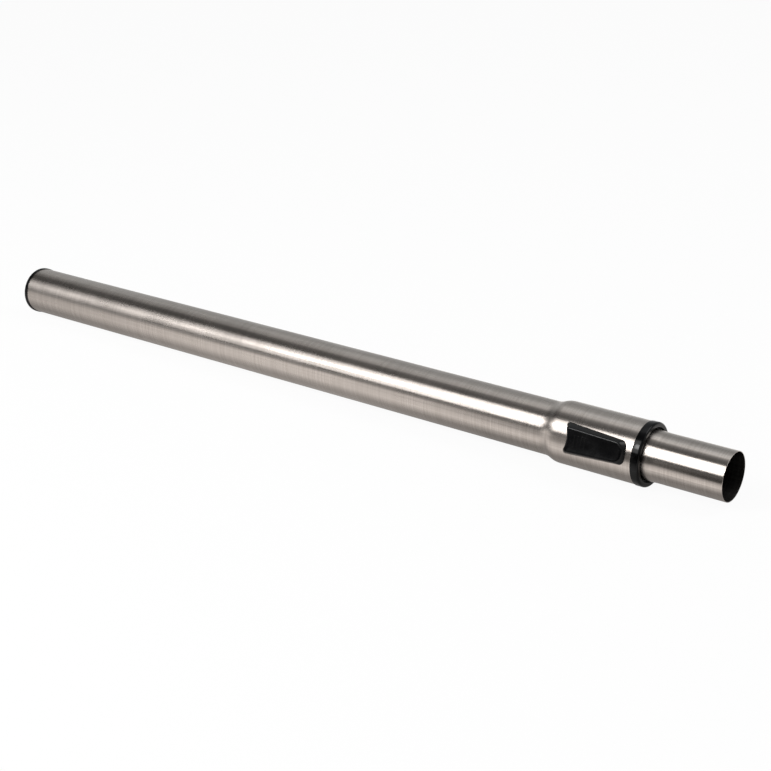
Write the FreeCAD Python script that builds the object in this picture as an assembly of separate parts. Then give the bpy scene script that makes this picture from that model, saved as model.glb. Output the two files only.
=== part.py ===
import FreeCAD, Part
import math
import os

from FreeCAD import Vector

# Telescopic vacuum wand: a stainless outer tube that widens into a sleeve, and a thinner inner tube
# that slides in it and locks in steps under a sliding thumb button.
# Frame: +X along the wand from the handle socket to the nozzle end, +Z up, origin on the wand's axis
# at the mouth of the handle socket. The wand lies on its side with the button turned towards -Y.
# Each piece is drawn with the button on top and is turned to the way the wand lies when it is written.

# Driving dimensions, in millimetres and degrees

# Tubes
inner_diameter = 32.3
inner_wall = 0.5
spigot_step = 0.25
spigot_length = 45.0
spigot_blend = 5.0
tube_gap = 1.0
outer_wall = 0.6
lock_space = 3.6

# Lengths along the wand, from the handle socket to the nozzle end
lip_length = 3.0
outer_run = 490.0
flare_length = 12.0
sleeve_length = 54.5
collar_length = 5.5
exposed_length = 53.0
lie_angle = 14.5

# Handle socket
skirt_wall = 1.0
skirt_length = 28.0
lip_height = 0.45
lip_break = 0.4
socket_lead = 0.7

# Collar, wiper and air seal
collar_height = 0.4
collar_front_round = 1.4
collar_skirt_length = 6.0
collar_recess_width = 1.5
collar_recess_depth = 3.4
collar_lip_thickness = 2.0
collar_lip_gap = 0.45
wiper_gap = 0.15
seal_length = 4.0
seal_lip_thickness = 0.8
seal_lip_gap = 0.15
seal_heel_height = 2.0

# Notches and key groove of the inner tube
notch_pitch = 32.0
notch_steps = 12
notch_depth = 1.6
groove_radius = 3.0
groove_depth = 0.9

# Lock bolt, cross pin and slide carriage
bolt_thickness = 4.0
bolt_width = 7.8
pin_diameter = 2.0
bolt_lift = 1.9
button_travel = 3.5
post_thickness = 1.5
cheek_thickness = 1.4
cheek_ligament = 0.6
carriage_web = 4.3
dowel_diameter = 2.4
dowel_depth = 3.5
rail_thickness = 0.9
slot_corner = 1.0
pocket_web = 0.65

# Cored pockets of the guide sleeve, beside the lock
core_angle = 45.0
core_width = 9.5
core_floor = 1.2
core_margin = 4.0

# Thumb button
button_gap = 4.0
rear_cover = 3.6
front_cover = 1.3
slot_cover = 4.7
rear_roof = 2.3
front_roof = 0.9
end_draft = 30.0
side_draft = 17.0
rear_scoop = 0.9
rear_corner_round = 1.8
front_corner_round = 3.2
button_edge_round = 0.8
thumb_rim = 1.6
thumb_depth = 0.4
thumb_slope = 0.6
button_wall = 1.2
rib_count = 4
rib_pitch = 2.4
rib_radius = 0.45
rib_height = 0.25

# Springs and glide shells
spring_turns = 5
spring_wire = 0.36
spring_facets = 9
wire_facets = 6
spring_spread = 1.7
spring_room = 11.5
channel_wall = 2.0
leaf_length = 24.0
leaf_width = 6.0
leaf_thickness = 0.3
leaf_seat_depth = 2.6
shell_length = 16.0
shell_inset = 3.0
shell_split = 1.0
peg_diameter = 4.0
stop_gap = 2.0

# Clearances
fit_gap = 0.05
guide_gap = 0.1
slide_gap = 0.2
cover_gap = 0.3

# Radii worked out from the inner tube outwards
inner_radius = inner_diameter / 2
spigot_radius = inner_radius - spigot_step
outer_bore = inner_radius + tube_gap
outer_radius = outer_bore + outer_wall
sleeve_bore = inner_radius + lock_space
sleeve_radius = sleeve_bore + outer_wall
guide_bore = inner_radius + slide_gap
guide_radius = sleeve_bore - guide_gap
skirt_radius = outer_bore - fit_gap
socket_radius = skirt_radius - skirt_wall
lip_radius = outer_radius + lip_height
collar_radius = sleeve_radius + collar_height
collar_mouth = inner_radius + collar_recess_width
reach = 2 * collar_radius

# Stations along the wand
flare_start = lip_length + outer_run
flare_end = flare_start + flare_length
sleeve_end = flare_end + sleeve_length
collar_front = sleeve_end + collar_length
inner_end = collar_front + exposed_length
seal_start = flare_end + slide_gap
guide_start = seal_start + seal_length + guide_gap
collar_skirt_start = sleeve_end - collar_skirt_length
guide_end = collar_skirt_start - guide_gap
slide_range = notch_pitch * notch_steps
shell_end = seal_start - stop_gap - slide_range
shell_start = shell_end - shell_length
inner_start = shell_start - shell_inset

# The lock and its slot, from the guide sleeve's end backwards, and the button over them
window_half = bolt_thickness / 2 + guide_gap
post_half = window_half + post_thickness
channel_end = guide_end - channel_wall
carriage_front = channel_end - spring_room
slot_front = carriage_front + button_travel + slide_gap
opening_front = carriage_front - carriage_web
bolt_station = opening_front - slide_gap - post_half
opening_rear = bolt_station - post_half - button_travel - slide_gap
carriage_rear = opening_rear - carriage_web
slot_rear = carriage_rear - slide_gap
button_rear = slot_rear - button_travel - slot_cover
button_front = sleeve_end - button_gap

# Half widths across the button
bolt_half = bolt_width / 2
cheek_inner = bolt_half + slide_gap
carriage_half = cheek_inner + cheek_thickness
pocket_half = carriage_half + slide_gap
rail_outer = pocket_half + rail_thickness
slot_half = rail_outer + slide_gap

# Levels above the wand's axis, with the bolt locked
notch_floor = inner_radius - notch_depth
nose_radius = bolt_thickness / 2
notch_radius = nose_radius + guide_gap
nose_level = notch_floor + notch_radius
pocket_floor = guide_bore + pocket_web
cheek_floor = pocket_floor + slide_gap
pin_radius = pin_diameter / 2
pin_slot_radius = pin_radius + guide_gap
pin_level = cheek_floor + cheek_ligament + pin_slot_radius
bolt_top = pin_level + pin_radius + slide_gap
button_ceiling = pin_level + bolt_lift + pin_slot_radius + cheek_ligament
post_top = button_ceiling - 2 * slide_gap
spring_diameter = sleeve_bore - pocket_floor - 2 * slide_gap - fit_gap
spring_level = pocket_floor + slide_gap + spring_diameter / 2

# Levels of the button's outline
button_seat = sleeve_radius + cover_gap
skirt_level = math.sqrt(sleeve_radius ** 2 - (slot_half + rear_cover) ** 2)
rear_top = button_ceiling + rear_roof
front_top = button_ceiling + front_roof
relief_ceiling = front_top - thumb_depth - button_wall
end_lean = math.tan(math.radians(end_draft))
side_lean = math.tan(math.radians(side_draft))
top_rear = button_rear + end_lean * (rear_top - skirt_level)
top_front = button_front - end_lean * (front_top - sleeve_radius)

axis_point = Vector(0, 0, 0)
along = Vector(1, 0, 0)
across = Vector(0, 1, 0)


def section(corners):
    """Face in the XZ plane; each corner is (x, z, rounding) and is rounded by a tangent arc."""
    starts = []
    ends = []
    edges = []
    points = [Vector(x, 0, z) for x, z, rounding in corners]
    for index, corner in enumerate(corners):
        here = points[index]
        start = here
        end = here
        if corner[2] > 0:
            before = (points[index - 1] - here).normalize()
            after = (points[(index + 1) % len(points)] - here).normalize()
            half_angle = before.getAngle(after) / 2
            bisector = (before + after).normalize()
            start = here + before * (corner[2] / math.tan(half_angle))
            end = here + after * (corner[2] / math.tan(half_angle))
            middle = here + bisector * (corner[2] / math.sin(half_angle) - corner[2])
            edges.append(Part.Arc(start, middle, end).toShape())
        starts.append(start)
        ends.append(end)
    for index, end in enumerate(ends):
        start = starts[(index + 1) % len(starts)]
        if end.distanceToPoint(start) > Part.Precision.confusion():
            edges.append(Part.LineSegment(end, start).toShape())
    return Part.Face(Part.Wire(Part.__sortEdges__(edges)))


def turned(corners):
    """Solid turned about the wand's axis."""
    return section(corners).revolve(axis_point, along, 360)


def ring(start, end, bore, radius):
    """Plain tube between two stations."""
    length = end - start
    solid = Part.makeCylinder(radius, length, Vector(start, 0, 0), along)
    return solid.cut(Part.makeCylinder(bore, length, Vector(start, 0, 0), along))


def block(start, end, half_width, bottom, top):
    """Box centred on the button's line."""
    return Part.makeBox(end - start, 2 * half_width, top - bottom, Vector(start, -half_width, bottom))


def crossbar(station, level, radius, half_width):
    """Round bar across the wand."""
    return Part.makeCylinder(radius, 2 * half_width, Vector(station, -half_width, level), across)


def both_sides(shape):
    """The shape and its mirror image across the button's line."""
    return [shape, shape.mirror(axis_point, across)]


def make_outer_tube():
    """Drawn tube with a smooth flare into the sleeve, and the slot that the lock works through."""
    rise = sleeve_radius - outer_radius
    slope = 2 * math.atan(rise / flare_length)
    bend = flare_length / 2 / math.sin(slope) - outer_wall / 2
    toe = rise / 2 / math.tan(slope)
    flare_middle = (flare_start + flare_end) / 2
    tube = turned([
        (lip_length, outer_radius, 0),
        (flare_middle - toe, outer_radius, bend),
        (flare_middle + toe, sleeve_radius, bend),
        (sleeve_end, sleeve_radius, 0),
        (sleeve_end, sleeve_bore, 0),
        (flare_middle + toe, sleeve_bore, bend),
        (flare_middle - toe, outer_bore, bend),
        (lip_length, outer_bore, 0),
    ])
    slot = block(slot_rear, slot_front, slot_half, 0, reach)
    corners = [edge for edge in slot.Edges if edge.BoundBox.ZLength > slot_half]
    return tube.cut(slot.makeFillet(slot_corner, corners))


def make_end_ring():
    """Plastic bush of the handle socket, with the lip that covers the tube's edge."""
    return turned([
        (0, socket_radius + socket_lead, 0),
        (0, lip_radius - lip_break, 0),
        (lip_break, lip_radius, 0),
        (lip_length, lip_radius, 0),
        (lip_length, skirt_radius, 0),
        (lip_length + skirt_length, skirt_radius, 0),
        (lip_length + skirt_length, socket_radius, 0),
        (socket_lead, socket_radius, 0),
    ])


def make_collar():
    """Ring that closes the sleeve, with a recessed mouth round the inner tube and a seat for the wiper."""
    skirt_radius = sleeve_bore - fit_gap
    lip_front = collar_front - collar_recess_depth
    lip_rear = lip_front - collar_lip_thickness
    lip_bore = inner_radius + collar_lip_gap
    shoulder = collar_front_round * (1 - math.sqrt(0.5))
    return turned([
        (collar_skirt_start, collar_mouth, 0),
        (collar_skirt_start, skirt_radius, 0),
        (sleeve_end, skirt_radius, 0),
        (sleeve_end, collar_radius, 0),
        (collar_front - collar_front_round, collar_radius, 0),
        (collar_front - shoulder, collar_radius - shoulder, 0),
        (collar_front, collar_radius - collar_front_round, 0),
        (collar_front, collar_mouth, 0),
        (lip_front, collar_mouth, 0),
        (lip_front, lip_bore, 0),
        (lip_rear, lip_bore, 0),
        (lip_rear, collar_mouth, 0),
    ])


def make_wiper_ring():
    """Felt ring held between the guide sleeve and the collar's inner lip."""
    start = collar_skirt_start
    end = collar_front - collar_recess_depth - collar_lip_thickness - fit_gap
    return ring(start, end, inner_radius + wiper_gap, collar_mouth - fit_gap)


def make_air_seal():
    """Rubber ring with a slanted lip on the inner tube, against the inside of the flare."""
    heel = guide_radius - seal_heel_height
    tip = inner_radius + seal_lip_gap
    end = seal_start + seal_length
    return turned([
        (seal_start, tip, 0),
        (seal_start + seal_lip_thickness, tip, 0),
        (end - seal_lip_thickness, heel - seal_lip_thickness, 0),
        (end, heel - seal_lip_thickness, 0),
        (end, guide_radius, 0),
        (end - seal_lip_thickness * 2, guide_radius, 0),
        (end - seal_lip_thickness * 2, heel, 0),
    ])


def leaf_seat():
    """Radius at which the ends of the leaf springs bear on the guide sleeve."""
    return guide_bore + leaf_seat_depth


def make_guide_sleeve():
    """Cored bush in the sleeve with the carriage's pocket, the bolt's well, side rails and the key rib."""
    body = ring(guide_start, guide_end, guide_bore, guide_radius)
    pocket = block(slot_rear, channel_end, pocket_half, pocket_floor, reach)
    rail = block(slot_rear + slot_corner, slot_front - slot_corner, rail_outer, pocket_floor, reach)
    rail = rail.cut(pocket).common(ring(guide_start, guide_end, guide_bore, sleeve_radius))
    well = block(bolt_station - post_half, bolt_station + post_half, bolt_half, guide_bore, post_top)
    key = Part.makeCylinder(groove_radius - slide_gap, guide_end - guide_start,
                            Vector(guide_start, 0, groove_level()), along)
    key = key.common(Part.makeCylinder(guide_radius, guide_end, axis_point, along))
    bolt_window = block(bolt_station - window_half, bolt_station + window_half,
                        bolt_half + guide_gap, 0, reach)
    middle = (guide_start + guide_end) / 2
    leaf_pocket = Part.makeBox(leaf_length + 2 * slide_gap, leaf_seat(), leaf_width + 2 * slide_gap,
                               Vector(middle - leaf_length / 2 - slide_gap, 0, -leaf_width / 2 - slide_gap))
    core = block(guide_start + core_margin, guide_end - core_margin, core_width / 2,
                 guide_bore + core_floor, reach)
    core.rotate(axis_point, along, core_angle)
    body = body.cut(pocket).fuse([rail, well, key]).cut(bolt_window)
    return body.cut(both_sides(leaf_pocket) + both_sides(core)).removeSplitter()


def groove_level():
    """Height of the centre line of the key groove, opposite the button."""
    return groove_depth - inner_radius - groove_radius


def make_lock_bolt():
    """Moulded bolt with a rounded nose that sits in a notch, bored for the steel cross pin."""
    rear = bolt_station - nose_radius
    front = bolt_station + nose_radius
    body = block(rear, front, bolt_half, nose_level, bolt_top)
    body = body.fuse(crossbar(bolt_station, nose_level, nose_radius, bolt_half)).removeSplitter()
    return body.cut(crossbar(bolt_station, pin_level, pin_radius + fit_gap, bolt_half))


def make_lock_pin():
    """Cross pin that carries the bolt in the carriage's two slots."""
    return crossbar(bolt_station, pin_level, pin_radius, carriage_half - fit_gap)


def make_slide_carriage():
    """Slide under the button: two cheeks with oblique slots, joined by a web at each end."""
    body = block(carriage_rear, carriage_front, carriage_half, cheek_floor, button_ceiling)
    body = body.cut(block(opening_rear, opening_front, cheek_inner, 0, reach))
    low = crossbar(bolt_station, pin_level, pin_slot_radius, carriage_half)
    high = crossbar(bolt_station - button_travel, pin_level + bolt_lift, pin_slot_radius, carriage_half)
    run = math.hypot(button_travel, bolt_lift)
    between = Part.makeBox(run, 2 * carriage_half, 2 * pin_slot_radius,
                           Vector(0, -carriage_half, -pin_slot_radius))
    between.rotate(axis_point, across, 180 + math.degrees(math.atan2(bolt_lift, button_travel)))
    between.translate(Vector(bolt_station, 0, pin_level))
    body = body.cut([low, high, between])
    return body.cut([dowel(station, dowel_diameter / 2 + fit_gap) for station in dowel_stations()])


def dowel_stations():
    """Middles of the carriage's two webs, where the button's dowels go in."""
    return [carriage_rear + carriage_web / 2, carriage_front - carriage_web / 2]


def dowel(station, radius):
    """Round dowel under the button's ceiling."""
    return Part.makeCylinder(radius, dowel_depth, Vector(station, 0, button_ceiling - dowel_depth))


def thumb_plane(station):
    """Level of the button's sloping top face above a station."""
    return rear_top + (front_top - rear_top) * (station - top_rear) / (top_front - top_rear)


def button_half(station, level):
    """Half width of the button's body, with drafted walls, at a station and a level."""
    share = (station - button_rear) / (button_front - button_rear)
    cover = rear_cover + (front_cover - rear_cover) * share
    return slot_half + cover - side_lean * (level - skirt_level)


def button_outline(rear_level, front_level, inset):
    """Four corners of the button's body at the levels given for its rear and its front."""
    rear = button_rear + end_lean * (rear_level - skirt_level) + inset
    front = button_front - end_lean * (front_level - sleeve_radius) - inset
    rear_half = button_half(rear, rear_level) - inset
    front_half = button_half(front, front_level) - inset
    return [
        Vector(rear, -rear_half, rear_level),
        Vector(rear, rear_half, rear_level),
        Vector(front, front_half, front_level),
        Vector(front, -front_half, front_level),
    ]


def flat_sided(lower, upper):
    """Solid with flat walls between two four-cornered outlines."""
    loops = [lower, upper]
    for index, corner in enumerate(lower):
        loops.append([lower[index - 1], corner, upper[index], upper[index - 1]])
    faces = [Part.Face(Part.makePolygon(loop + loop[:1])) for loop in loops]
    solid = Part.Solid(Part.Shell(faces))
    solid.fix(fit_gap, fit_gap, fit_gap)
    return solid


def rear_scoop_tool(rim):
    """Leaning cylinder that scoops the button's rear end, widened by a rim."""
    half = button_half(button_rear, skirt_level)
    radius = (half ** 2 + rear_scoop ** 2) / (2 * rear_scoop)
    lean = math.radians(end_draft)
    upward = Vector(math.sin(lean), 0, math.cos(lean))
    back = (radius - rear_scoop) / math.cos(lean)
    base = Vector(button_rear - back, 0, skirt_level) - upward * reach
    return Part.makeCylinder(radius + rim, 2 * reach, base, upward)


def rounded_corners(body, radius, rear):
    """The button with its two standing corners at one end rounded."""
    edges = []
    for edge in body.Edges:
        stands = edge.BoundBox.ZLength > (front_top - skirt_level) / 2
        if stands and (edge.CenterOfMass.x < bolt_station) == rear:
            edges.append(edge)
    return body.makeFillet(radius, edges)


def make_release_button():
    """Moulded thumb button over the slot: drafted walls, a shallow thumb face with grip ribs."""
    base = button_outline(skirt_level, skirt_level, 0)
    top = button_outline(rear_top, front_top, 0)
    body = flat_sided(base, top)
    body = rounded_corners(body, rear_corner_round, True)
    body = rounded_corners(body, front_corner_round, False)
    rim = [edge for edge in body.Edges if edge.BoundBox.ZMin > front_top - fit_gap]
    body = body.makeFillet(button_edge_round, rim)
    floor = button_outline(rear_top - thumb_depth, front_top - thumb_depth, thumb_rim + thumb_slope)
    mouth = button_outline(rear_top + thumb_depth, front_top + thumb_depth, thumb_rim - thumb_slope)
    loops = [Part.makePolygon(loop + loop[:1]) for loop in (floor, mouth)]
    hollow = Part.makeLoft(loops, True, True)
    body = body.cut([rear_scoop_tool(0), hollow.cut(rear_scoop_tool(thumb_rim))])
    ribs = []
    for index in range(rib_count):
        station = slot_rear + (index + 1) * rib_pitch
        level = thumb_plane(station) - thumb_depth - rib_radius + rib_height
        ribs.append(crossbar(station, level, rib_radius, cheek_inner))
    body = body.fuse(ribs)
    seat = Part.makeCylinder(button_seat, inner_end, axis_point, along)
    cavity = block(carriage_rear - fit_gap, carriage_front + fit_gap, carriage_half + fit_gap,
                   0, button_ceiling)
    relief_rear = carriage_front + fit_gap + button_wall
    relief_front = top_front - button_wall
    relief_half = button_half(relief_front, relief_ceiling) - button_wall
    relief = block(relief_rear, relief_front, relief_half, 0, relief_ceiling)
    body = body.cut([seat, cavity, relief])
    return body.fuse([dowel(station, dowel_diameter / 2) for station in dowel_stations()]).removeSplitter()


def make_return_spring():
    """Coil spring between the carriage and the end of the guide sleeve's channel, drawn in flat facets."""
    coil_radius = (spring_diameter - spring_wire) / 2
    length = spring_room - spring_wire - 2 * fit_gap
    rear = carriage_front + spring_wire / 2 + fit_gap
    points = []
    for step in range(spring_turns * spring_facets + 1):
        turn = 2 * math.pi * step / spring_facets
        offset = Vector(0, coil_radius * math.cos(turn), coil_radius * math.sin(turn))
        advance = length * step / (spring_turns * spring_facets)
        points.append(Vector(rear + advance, spring_spread, spring_level) + offset)
    heading = (points[1] - points[0]).normalize()
    side = heading.cross(across).normalize()
    spoke = side * (spring_wire / 2)
    start = points[0]
    ring_points = []
    for step in range(wire_facets + 1):
        turn = FreeCAD.Rotation(heading, 360 * step / wire_facets)
        ring_points.append(start + turn.multVec(spoke))
    profile = Part.makePolygon(ring_points)
    mitred = 1
    return Part.makePolygon(points).makePipeShell([profile], True, False, mitred)


def make_leaf_spring():
    """Bowed leaf spring: its ends bear on the guide sleeve, its middle on the inner tube."""
    middle = (guide_start + guide_end) / 2
    rear = middle - leaf_length / 2
    front = middle + leaf_length / 2
    seat = leaf_seat() - fit_gap
    crown = inner_radius + guide_gap
    low = -leaf_width / 2
    outside = Part.Arc(Vector(rear, seat, low), Vector(middle, crown + leaf_thickness, low),
                       Vector(front, seat, low))
    inside = Part.Arc(Vector(front, seat - leaf_thickness, low), Vector(middle, crown, low),
                      Vector(rear, seat - leaf_thickness, low))
    edges = [
        outside.toShape(),
        Part.LineSegment(outside.EndPoint, inside.StartPoint).toShape(),
        inside.toShape(),
        Part.LineSegment(inside.EndPoint, outside.StartPoint).toShape(),
    ]
    return Part.Face(Part.Wire(edges)).extrude(Vector(0, 0, leaf_width))


def make_inner_tube():
    """Thin tube with pressed notches under the button, a key groove opposite and a calibrated spigot."""
    spigot_start = inner_end - spigot_length
    blend_start = spigot_start - spigot_blend

    def core(wall, start, end):
        """Solid bounded by the tube's outside, or by its inside where a wall is given."""
        body = turned([
            (start, 0, 0),
            (start, inner_radius - wall, 0),
            (blend_start, inner_radius - wall, 0),
            (spigot_start, spigot_radius - wall, 0),
            (end, spigot_radius - wall, 0),
            (end, 0, 0),
        ])
        cuts = []
        for step in range(notch_steps + 1):
            station = bolt_station - step * notch_pitch
            cuts.append(crossbar(station, nose_level, notch_radius + wall, inner_radius))
        groove_start = guide_start - slide_range - slide_gap
        groove_end = guide_end + slide_gap
        cuts.append(Part.makeCylinder(groove_radius + wall, groove_end - groove_start,
                                      Vector(groove_start, 0, groove_level()), along))
        for station in (groove_start, groove_end):
            cuts.append(Part.makeSphere(groove_radius + wall, Vector(station, 0, groove_level())))
        return body.cut(cuts)

    inside = core(inner_wall, inner_start - inner_wall, inner_end + inner_wall)
    tube = core(0, inner_start, inner_end).cut(inside)
    peg_hole = crossbar((shell_start + shell_end) / 2, 0, peg_diameter / 2 + guide_gap, inner_diameter)
    return tube.cut(peg_hole)


def make_glide_shell():
    """Half shell round the inner tube's hidden end, held by a peg through the wall."""
    shell = ring(shell_start, shell_end, inner_radius + fit_gap, outer_bore - slide_gap)
    near_half = Part.makeBox(shell_length, reach, 2 * reach, Vector(shell_start, shell_split / 2, -reach))
    peg_root = Vector((shell_start + shell_end) / 2, inner_radius - inner_wall, 0)
    peg = Part.makeCylinder(peg_diameter / 2, tube_gap, peg_root, across)
    return shell.common(near_half).fuse(peg).removeSplitter()


pieces = {
    "outer_tube": make_outer_tube(),
    "end_ring": make_end_ring(),
    "collar": make_collar(),
    "wiper_ring": make_wiper_ring(),
    "air_seal": make_air_seal(),
    "guide_sleeve": make_guide_sleeve(),
    "lock_bolt": make_lock_bolt(),
    "lock_pin": make_lock_pin(),
    "slide_carriage": make_slide_carriage(),
    "release_button": make_release_button(),
    "inner_tube": make_inner_tube(),
}
pairs = {
    "return_spring": make_return_spring(),
    "anti_rattle_spring": make_leaf_spring(),
    "glide_shell": make_glide_shell(),
}
for name, shape in pairs.items():
    upper, lower = both_sides(shape)
    pieces[name + "_upper"] = upper
    pieces[name + "_lower"] = lower

os.makedirs("parts", exist_ok=True)
for name, shape in pieces.items():
    shape.rotate(axis_point, along, 90 - lie_angle)
    shape.exportStep("parts/" + name + ".step")
    print(name, "solids", len(shape.Solids), "valid", shape.isValid(), "volume", round(shape.Volume, 2))
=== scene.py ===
import math
from functools import partial

import bmesh
import bpy
from bpy.props import FloatProperty, FloatVectorProperty, IntProperty, PointerProperty
from bpy.types import Operator, Panel, PropertyGroup
from mathutils import Matrix, Vector


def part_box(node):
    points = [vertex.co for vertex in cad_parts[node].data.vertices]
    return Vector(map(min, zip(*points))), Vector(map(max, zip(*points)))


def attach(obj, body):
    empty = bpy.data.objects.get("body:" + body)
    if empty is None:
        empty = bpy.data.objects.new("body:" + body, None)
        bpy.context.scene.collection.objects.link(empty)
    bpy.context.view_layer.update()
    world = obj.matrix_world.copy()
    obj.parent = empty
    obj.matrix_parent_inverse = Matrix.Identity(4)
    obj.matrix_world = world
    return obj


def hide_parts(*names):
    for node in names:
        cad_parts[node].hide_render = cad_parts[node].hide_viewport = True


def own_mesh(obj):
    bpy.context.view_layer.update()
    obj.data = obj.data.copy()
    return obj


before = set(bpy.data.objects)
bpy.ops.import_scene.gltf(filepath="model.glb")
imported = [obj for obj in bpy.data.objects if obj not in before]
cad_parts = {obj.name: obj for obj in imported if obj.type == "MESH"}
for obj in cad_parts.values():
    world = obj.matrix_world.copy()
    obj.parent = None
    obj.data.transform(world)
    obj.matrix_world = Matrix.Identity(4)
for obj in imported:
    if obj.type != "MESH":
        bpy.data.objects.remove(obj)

bl_info = {
    "name": "Telescopic Vacuum Wand",
    "version": (1, 0, 0),
    "blender": (4, 5, 0),
    "location": "View3D > Sidebar > Wand",
    "description": "Dresses a packed telescopic vacuum wand and sets a plain studio round it",
    "category": "Object",
}

MM = 0.001
SHARP_ANGLE = math.radians(40)
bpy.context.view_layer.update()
OUTER_LOW, OUTER_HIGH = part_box("outer_tube")
INNER_LOW, INNER_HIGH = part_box("inner_tube")
COLLAR_LOW, COLLAR_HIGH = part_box("collar")
RING_LOW, RING_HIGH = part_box("end_ring")

# Grey levels of the studio by degrees from the horizon in front, over the top, to the one behind
LEFT_LEVELS = (
    (0, 0.6), (5, 0.55), (10, 0.3), (14, 0.06), (18, 0.05), (50, 0.08), (58, 0.07), (66, 0.05),
    (80, 0.05), (101, 0.05), (118, 0.06), (129, 0.43), (145, 0.47), (166, 0.58), (180, 0.62))
RIGHT_LEVELS = (
    (0, 0.05), (12, 0.06), (17, 0.5), (52, 0.6), (60, 0.25), (66, 0.13), (80, 0.17), (90, 0.33),
    (98, 0.95), (112, 0.9), (125, 0.46), (144, 0.31), (166, 0.45), (180, 0.5))
# Sideways part of a direction at which the left levels end and the right ones are full
LEFT_ENDS, RIGHT_FULL = -0.73, -0.37
# Cooler cast of the studio's levels behind these degrees
COOL_FROM = 100
COOL_CAST = (0.96, 0.99, 1.0)
PLAIN_CAST = (1.0, 1.0, 1.0)

CAMERA_PLACE = (0.94382, -0.76667, 0.36536)
CAMERA_RIGHT = (0.79465, 0.60707, 0)
CAMERA_UP = (-0.21608, 0.28285, 0.93451)


def length(description, default):
    """Length in metres, shown in the scene's units."""
    return partial(FloatProperty, description=description, default=default,
                   unit="LENGTH", precision=5)


def mm(description, default):
    """Length given in millimetres."""
    return length(description, default * MM)


def slant(description, degrees):
    """Angle given in degrees."""
    return partial(FloatProperty, description=description, default=math.radians(degrees),
                   subtype="ANGLE")


def count(description, default):
    """Whole number of at least one."""
    return partial(IntProperty, description=description, default=default, min=1)


def watts(description, default):
    """Power of a lamp."""
    return partial(FloatProperty, description=description, default=default, min=0, unit="POWER")


def colour(description, default):
    """Linear colour."""
    return partial(FloatVectorProperty, description=description, default=default, size=3,
                   subtype="COLOR", min=0, max=1)


def labelled(settings):
    """Settings whose properties are labelled after their own names."""
    for name, made in settings.__annotations__.items():
        settings.__annotations__[name] = made(name=name.replace("_", " ").capitalize())
    return settings


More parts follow.
